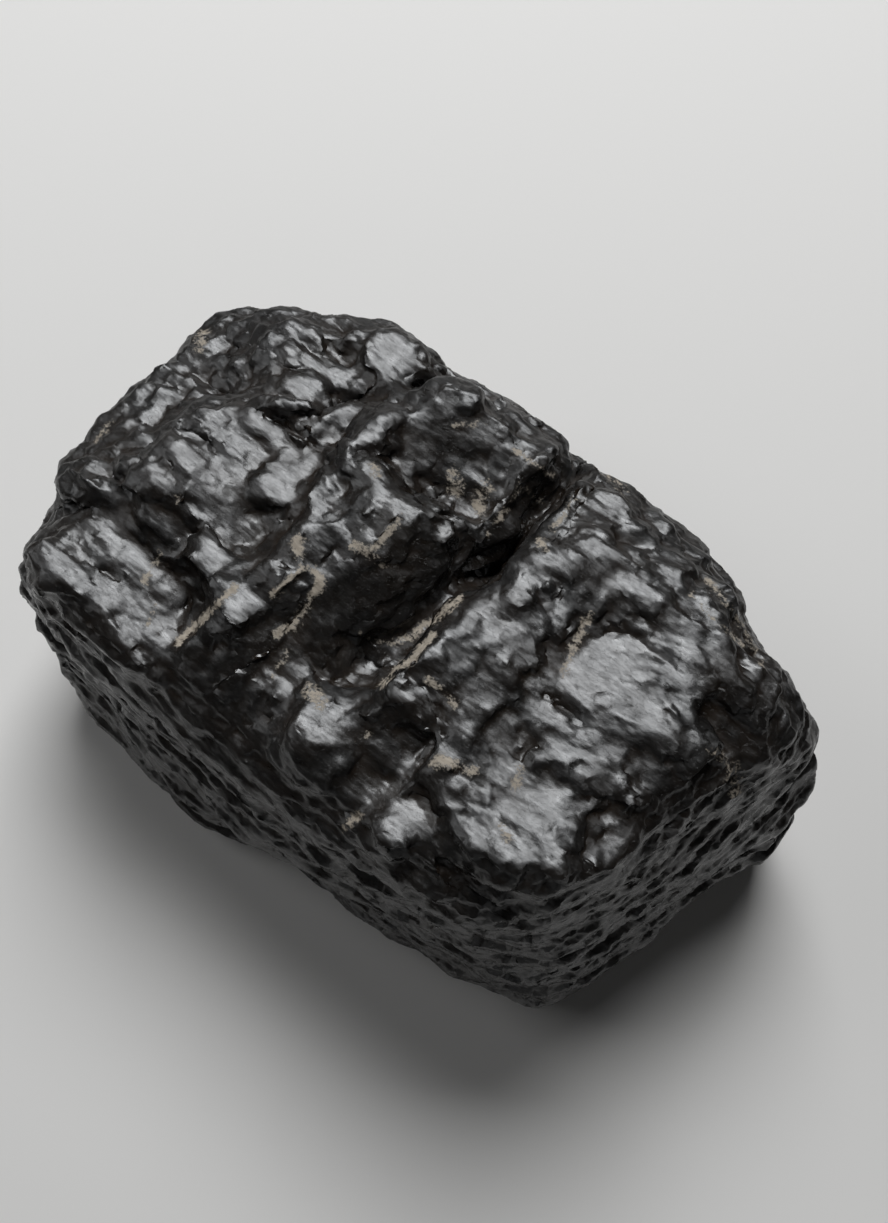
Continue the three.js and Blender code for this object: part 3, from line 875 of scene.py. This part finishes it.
def drawn(points):
    """Where each point lies on the drawing of the top, before its outlines are made ragged."""
    eye = np.array(CAMERA_AT)
    ray = points - eye
    height = np.full(len(points), FIRST_HEIGHT)
    for _ in range(TRIES):
        along = (height - eye[2]) / ray[:, 2]
        place = eye[:2] + ray[:, :2] * along[:, None] - DRAWN_FROM
        height = np.interp(place[:, 0], SHEET_X, SHEET_HEIGHT)
    return place


def ragged(points):
    """Small shifts that make drawn outlines follow the grain of the coal."""
    size, reach = RAGGED_NOISE
    shift = np.stack([noise(points, size, 11 + axis) for axis in range(2)], 1) * reach
    for number, (size, reach) in enumerate(RAGGED_BLOCKS):
        salt = 23 + 8 * number
        near, _ = two_nearest(points, size, salt)
        shift += (chances(near[0], salt + 4, 2) - 0.5) * reach
    return shift


def face_share(place, face, edge):
    """The points near a face, and how much each belongs to it."""
    x, y, half_x, half_y, turn = face[:5]
    reach = math.hypot(half_x, half_y) * FACE_SEARCH + edge
    close = np.flatnonzero((abs(place[:, 0] - x) < reach) & (abs(place[:, 1] - y) < reach))
    way = place[close] - (x, y)
    cosine = math.cos(math.radians(turn))
    sine = math.sin(math.radians(turn))
    along = way[:, 0] * cosine + way[:, 1] * sine
    across = way[:, 1] * cosine - way[:, 0] * sine
    radius = abs(along / half_x) ** SQUARENESS + abs(across / half_y) ** SQUARENESS
    inside = (1 - radius ** (1 / SQUARENESS)) * min(half_x, half_y)
    return close, eased(inside / edge + 0.5)


def top_share(normals):
    """1 on what faces up, 0 on the walls."""
    return eased((normals[:, 2] - WALL_UP_TO) / (TOP_FROM - WALL_UP_TO))


def calm_share(points, normals):
    """How smooth the surface is at each point, from 0 to 1."""
    place = drawn(points) + ragged(points)
    calm = np.zeros(len(points))
    for face in FACES:
        close, share = face_share(place, face, face[8])
        calm[close] = calm[close] * (1 - share) + face[9] * share
    return calm * top_share(normals)


def tones_at(points):
    """How dark the ground on top looks at each point."""
    place = drawn(points) + ragged(points)
    tone = np.full(len(points), TONE_ELSEWHERE)
    for row in TONES:
        close, share = face_share(place, row, TONE_EDGE)
        tone[close] = tone[close] * (1 - share) + row[5] * share
    return tone


def toned_normals(points, normals):
    """How the ground on top should face to look as light or dark as it does, turning it little."""
    slopes = -normals[:, :2] / np.maximum(normals[:, 2:], 0.2)
    away = slopes - LIT_SLOPE - drawn(points) * LIT_CHANGE
    second = length(away - SECOND_SLOPE) < length(away)
    away -= second[:, None] * SECOND_SLOPE
    beyond = away @ DARK_SLOPE / math.hypot(*DARK_SLOPE) < -OTHER_WAY
    lean = tones_at(points) * np.where(beyond, -1, 1)
    slopes += lean[:, None] * DARK_SLOPE - away
    return unit(np.column_stack([-slopes, np.ones(len(points))]))


def leant(normals, wanted, pull):
    """Normals turned towards the wanted ones, but never by much."""
    turn = (wanted - normals) * pull[:, None]
    return normals + turn * np.minimum(1, MOST_LEAN / np.maximum(length(turn), 0.001))[:, None]


def distance_to_line(place, line, reach):
    """The points near a line, their distances from it, and how far along it they lie, 0 to 1."""
    corners = np.array(line)
    low = corners.min(0) - reach
    high = corners.max(0) + reach
    close = np.flatnonzero(((place > low) & (place < high)).all(1))
    near = np.full(len(close), FAR)
    share = np.zeros(len(close))
    lengths = length(corners[1:] - corners[:-1])
    before = np.concatenate([[0], np.cumsum(lengths)]) / lengths.sum()
    for number, (start, end) in enumerate(zip(corners[:-1], corners[1:])):
        way = end - start
        part = np.clip(((place[close] - start) @ way) / (way @ way), 0, 1)
        far = length(place[close] - start - part[:, None] * way)
        closer = far < near
        near[closer] = far[closer]
        share[closer] = before[number] + part[closer] * (before[number + 1] - before[number])
    return close, near, share


def shape_top(mesh):
    """The faces, crevices and ridges drawn on top."""
    points = points_of(mesh)
    top = top_share(smoothed(normals_of(mesh), edges_of(mesh), DRAWING_ROUNDS))
    place = drawn(points)
    shift = ragged(points)
    less_ragged = place + shift * RAGGED_LINES
    lift = np.zeros(len(points))
    wavy = waves(points, FACE_WAVES, 90)
    for face in FACES:
        x, y, _, _, _, stands, slope_x, slope_y, edge, _ = face
        close, share = face_share(place + shift, face, edge * RELIEF_EDGE)
        share = share * top[close]
        now = points[close]
        now[:, 2] += lift[close]
        way = now - (now * share[:, None]).sum(0) / max(share.sum(), 0.001)
        slope_x += LIT_SLOPE[0] + LIT_CHANGE[0] * x
        slope_y += LIT_SLOPE[1] + LIT_CHANGE[1] * y
        rise = stands + way[:, 0] * slope_x + way[:, 1] * slope_y - way[:, 2] + wavy[close]
        lift[close] += rise * share
    lines = [(width, -depth, line) for width, depth, line in CREVICES]
    lines += [(width, height, line) for width, height, _, _, line in RIDGES]
    for width, rise, line in lines:
        close, far, share = distance_to_line(less_ragged, line, width * LINE_SEARCH)
        ends = eased(share / LINE_END) * eased((1 - share) / LINE_END)
        shape = 1 - eased((far / width - LINE_FLAT) / LINE_SIDE)
        lift[close] += rise * shape * (END_DEPTH + (1 - END_DEPTH) * ends) * top[close]
    points[:, 2] += lift
    set_points(mesh, points)


def bulge(mesh):
    """Moves the lump's sides so that its outline is as uneven as the one seen."""
    points = points_of(mesh)
    place = drawn(points)
    push = np.zeros(len(points))
    for x, y, reach, out in BULGES:
        far = np.hypot(place[:, 0] - x, place[:, 1] - y)
        push += out * (1 - eased(far / reach))
    normals = even_normals(mesh, edges_of(mesh), BULGE_ROUNDS)
    set_points(mesh, points + normals * push[:, None])


def even_normals(mesh, edges, rounds):
    return unit(smoothed(normals_of(mesh), edges, rounds))


def fine_relief(mesh):
    """Pushes out swells on the walls, then block faces everywhere, the larger ones first."""
    edges = edges_of(mesh)
    start = points_of(mesh)
    calm = calm_share(start, even_normals(mesh, edges, BLOCK_ROUNDS))
    normals = even_normals(mesh, edges, TONE_ROUNDS)
    wanted = toned_normals(start, normals)
    swell = waves(start, WALL_SWELLS, 80)
    set_points(mesh, start + normals * (swell * (1 - top_share(normals)))[:, None])
    warp = np.stack([waves(start, BEND_WAVES, 40 + 9 * axis) for axis in range(3)], 1)
    bent = start + warp * BEND
    size, high = LAYER_WAVE
    layers = bent + (0, 0, high) * noise(start, size, 96)[:, None]
    size, change = UNDERCUT_CHANGE
    undercut = UNDERCUT * (1 + change * noise(start, size, 95))
    for number, (block, wall_block) in enumerate(zip(TOP_BLOCKS, WALL_BLOCKS)):
        points = points_of(mesh)
        normals = even_normals(mesh, edges, BLOCK_ROUNDS)
        top = top_share(normals)
        facing = leant(normals, wanted, top * TONE_PULL[number])
        salt = 100 + 20 * number
        left = 1 - calm * (FINE_LOSS if number else 1)
        push = broken_faces(points, bent, normals, facing, block, salt) * left * top
        facing = normals - ((1 - top) * undercut)[:, None] * (0, 0, 1)
        push += broken_faces(points, layers, normals, facing, wall_block, salt + 60) * (1 - top)
        set_points(mesh, without_spikes(points + normals * push[:, None], edges))


def settled(mesh):
    """Keeps the lump within a little of the CAD box and flat where it rests."""
    low = np.array(cad_low) / MM - (SPARE, SPARE, 0)
    high = np.array(cad_high) / MM + SPARE
    set_points(mesh, np.clip(points_of(mesh), low, high))


def mark(mesh):
    """Stores on the mesh where the films, the hollows, the smooth faces and the walls are."""
    points = points_of(mesh) / MM
    normals = normals_of(mesh)
    place = drawn(points) + ragged(points) * RAGGED_LINES
    film = np.zeros(len(points))
    films = FILMS + tuple(row[2:] for row in RIDGES if row[2])
    for width, strength, line in films:
        close, far, _ = distance_to_line(place, line, width * LINE_SEARCH)
        film[close] = np.maximum(film[close], strength * (1 - eased(far / width / FILM_FADE)))
    film *= top_share(normals)
    edges = edges_of(mesh)
    sheltered = smoothed(points, edges, HOLLOW_ROUNDS) - points
    hollow = np.clip((sheltered * normals).sum(1) / HOLLOW, 0, 1)
    calm = calm_share(points, normals)
    wall = 1 - top_share(smoothed(normals, edges, WALL_ROUNDS))
    for name, values in zip(STORED, (film, hollow, calm, wall)):
        mesh.attributes.new(name, "FLOAT", "POINT").data.foreach_set("value", values)


def lump_mesh():
    mesh = cad_shape()
    mesh = remeshed(mesh, FINE_VOXEL)
    bulge(mesh)
    shape_top(mesh)
    mesh = remeshed(mesh, FINE_VOXEL)
    smooth(mesh, FINE_SMOOTHING)
    fine_relief(mesh)
    smooth(mesh, 1, LAST_SMOOTHING)
    settled(mesh)
    mesh = with_modifier(mesh, "TRIANGULATE")
    share = TRIANGLES / len(mesh.polygons)
    mesh = with_modifier(mesh, "DECIMATE", ratio=min(1, share))
    without_crumbs(mesh)
    set_points(mesh, points_of(mesh) * MM)
    mesh.polygons.foreach_set("use_smooth", [True] * len(mesh.polygons))
    mesh.set_sharp_from_angle(angle=SHARP_ANGLE)
    mesh.materials.clear()
    mark(mesh)
    return mesh


# ---- materials


def new_material(name):
    material = bpy.data.materials.new(name)
    material.use_nodes = True
    return material, material.node_tree.nodes["Principled BSDF"]


class Shading:
    """Short ways to add and join the nodes of one material."""

    def __init__(self, material):
        self.nodes = material.node_tree.nodes
        self.links = material.node_tree.links

    def add(self, kind, inputs=None, **settings):
        node = self.nodes.new("ShaderNode" + kind)
        for name, value in settings.items():
            setattr(node, name, value)
        for name, value in (inputs or {}).items():
            if isinstance(value, bpy.types.NodeSocket):
                self.links.new(value, node.inputs[name])
            else:
                node.inputs[name].default_value = value
        return node

    def math(self, operation, first, second=0.5, third=0.5):
        return self.add("Math", {0: first, 1: second, 2: third}, operation=operation).outputs[0]

    def vector(self, operation, first, second):
        return self.add("VectorMath", {0: first, 1: second}, operation=operation)

    def stored(self, name):
        return self.add("Attribute", attribute_name=name).outputs["Fac"]

    def ramp(self, value, low, high, out_low=0.0, out_high=1.0):
        """Maps a value that runs from low to high, kept within its limits."""
        inputs = {"Value": value, 1: low, 2: high, 3: out_low, 4: out_high}
        return self.add("MapRange", inputs).outputs[0]

    def stretched(self, place, scale):
        return self.add("Mapping", {"Vector": place, "Scale": scale}).outputs[0]

    def noise(self, place, scale, detail=4.0, roughness=0.6):
        inputs = {"Vector": self.stretched(place, scale), "Scale": 1.0, "Detail": detail}
        inputs["Roughness"] = roughness
        return self.add("TexNoise", inputs).outputs["Fac"]

    def chips(self, place, scale, slope):
        """Heights of small flat chips, each with a lean of its own."""
        spot = self.stretched(place, scale)
        cells = self.add("TexVoronoi", {"Vector": spot, "Scale": 1.0}, feature="F1")
        way = self.vector("SUBTRACT", spot, cells.outputs["Position"]).outputs[0]
        lean = self.vector("SUBTRACT", cells.outputs["Color"], (0.5, 0.5, 0.5)).outputs[0]
        height = self.vector("DOT_PRODUCT", way, lean).outputs["Value"]
        return self.math("MULTIPLY", height, slope)

    def mixed(self, share, first, second):
        inputs = {"Factor": share, "A": first, "B": second}
        return self.add("Mix", inputs, data_type="RGBA").outputs["Result"]


def coal_material():
    material, shader = new_material("coal")
    tree = Shading(material)
    place = tree.add("TexCoord").outputs["Object"]
    place = tree.stretched(place, (1 / MM, 1 / MM, 1 / MM))
    film, hollow, calm, wall = (tree.stored(name) for name in STORED)

    # noises: waves per millimetre along X, Y and Z, then detail and roughness
    broad = tree.noise(place, (0.16, 0.16, 0.30), 3.0)
    patchy = tree.noise(place, (0.5, 0.8, 1.2), 5.0)
    streaks = tree.noise(place, (0.45, 2.6, 4.0), 3.0, 0.55)
    grain = tree.noise(place, (3.2, 3.6, 4.5), 4.0, 0.6)

    # colour: black, browner where it is sheltered, with pale mineral films
    warm = tree.math("MULTIPLY_ADD", tree.ramp(broad, 0.4, 0.65), 0.5, hollow)
    black = tree.mixed(warm, COAL_BLACK, COAL_BROWN)
    ragged = tree.math("MULTIPLY_ADD", tree.math("SUBTRACT", grain, 0.5), 2.0, film)
    ragged = tree.math("MULTIPLY_ADD", tree.math("SUBTRACT", patchy, 0.5), 2.2, ragged)
    covered = tree.math("MULTIPLY", tree.ramp(ragged, 0.35, 0.8), tree.ramp(film, 0.05, 0.3))
    tan = tree.mixed(streaks, FILM_DARK, FILM_PALE)
    colour = tree.mixed(tree.math("MULTIPLY", covered, 0.85), black, tan)
    tree.links.new(colour, shader.inputs["Base Color"])

    # gloss: bright bands and duller ones, glossier walls and dull films
    dull = tree.ramp(tree.math("MULTIPLY_ADD", streaks, 0.6, patchy), 0.55, 1.0, 0.26, 0.44)
    dull = tree.math("MULTIPLY_ADD", wall, -0.14, dull)
    rough = tree.math("MULTIPLY_ADD", covered, 0.4, dull)
    tree.links.new(rough, shader.inputs["Roughness"])
    shader.inputs["IOR"].default_value = 1.55

    # bump, weaker on the smooth faces and on the walls
    wavy = tree.noise(place, (0.22, 0.42, 0.5), 2.0)
    height = tree.chips(place, (0.8, 1.2, 1.5), BUMP_CHIPS)
    finer = tree.chips(place, (2.0, 3.2, 3.6), BUMP_FINE_CHIPS)
    height = tree.math("ADD", height, finer)
    height = tree.math("MULTIPLY", height, tree.ramp(calm, 0.0, 1.0, 1.0, 0.3))
    height = tree.math("MULTIPLY_ADD", streaks, BUMP_STREAKS, height)
    height = tree.math("MULTIPLY_ADD", wavy, BUMP_WAVES, height)
    height = tree.math("MULTIPLY_ADD", grain, BUMP_GRAIN, height)
    height = tree.math("MULTIPLY", height, tree.ramp(wall, 0.0, 1.0, 1.0, 0.35))
    bump = tree.add("Bump", {"Height": height, "Distance": MM, "Strength": 1.0})
    tree.links.new(bump.outputs[0], shader.inputs["Normal"])
    return material


def floor_material():
    material, shader = new_material("pale_floor")
    shader.inputs["Base Color"].default_value = FLOOR_COLOUR
    shader.inputs["Roughness"].default_value = 0.9
    return material


# ---- floor, light and camera


def add_floor():
    half = FLOOR_SIDE / 2 * MM
    corners = [(-half, -half, 0), (half, -half, 0), (half, half, 0), (-half, half, 0)]
    mesh = bpy.data.meshes.new("floor")
    mesh.from_pydata(corners, [], [(0, 1, 2, 3)])
    floor = bpy.data.objects.new("floor", mesh)
    mesh.materials.append(floor_material())
    link(floor)


def stand(thing, place, back):
    """Puts a light or the camera in its place, with its back that way."""
    thing.location = place * MM
    thing.rotation_mode = "QUATERNION"
    thing.rotation_quaternion = back.to_track_quat("Z", "Y")
    link(thing)


def add_softbox(name, towards, distance, side, power):
    """A square area light that stands in that direction from the lump and faces it."""
    data = bpy.data.lights.new(name, "AREA")
    data.shape = "SQUARE"
    data.size = side * MM
    data.energy = power
    data.color = LIGHT_COLOUR
    light = bpy.data.objects.new(name, data)
    light.visible_camera = False
    direction = Vector(towards).normalized()
    stand(light, direction * distance, direction)


def add_world():
    """A dark room that is lighter low down, with a pale backdrop for the camera alone."""
    world = bpy.data.worlds.new("studio")
    bpy.context.scene.world = world
    world.use_nodes = True
    tree = Shading(world)
    way = tree.add("TexCoord").outputs["Generated"]
    height = tree.add("SeparateXYZ", {"Vector": way}).outputs["Z"]
    room = tree.ramp(height, 0.0, 0.45, ROOM_LOW, ROOM_HIGH)
    seen = tree.add("LightPath").outputs["Is Camera Ray"]
    shade = tree.mixed(seen, room, BACKDROP_COLOUR)
    tree.links.new(shade, world.node_tree.nodes["Background"].inputs["Color"])


def add_camera():
    data = bpy.data.cameras.new("camera")
    data.sensor_width = CAMERA_SENSOR
    data.lens = CAMERA_LENS
    data.clip_start = 0.01
    data.clip_end = 20
    camera = bpy.data.objects.new("camera", data)
    stand(camera, Vector(CAMERA_AT), Vector(CAMERA_BACK))
    bpy.context.scene.camera = camera


# ---- the scene

add_camera()
add_floor()
for light in LIGHTS:
    add_softbox(*light)
add_world()
bpy.context.scene.view_settings.view_transform = "Standard"

lump = bpy.data.objects.new("coal_specimen", lump_mesh())
lump.data.materials.append(coal_material())
link(lump)
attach(lump, "root")
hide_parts("coal_lump")
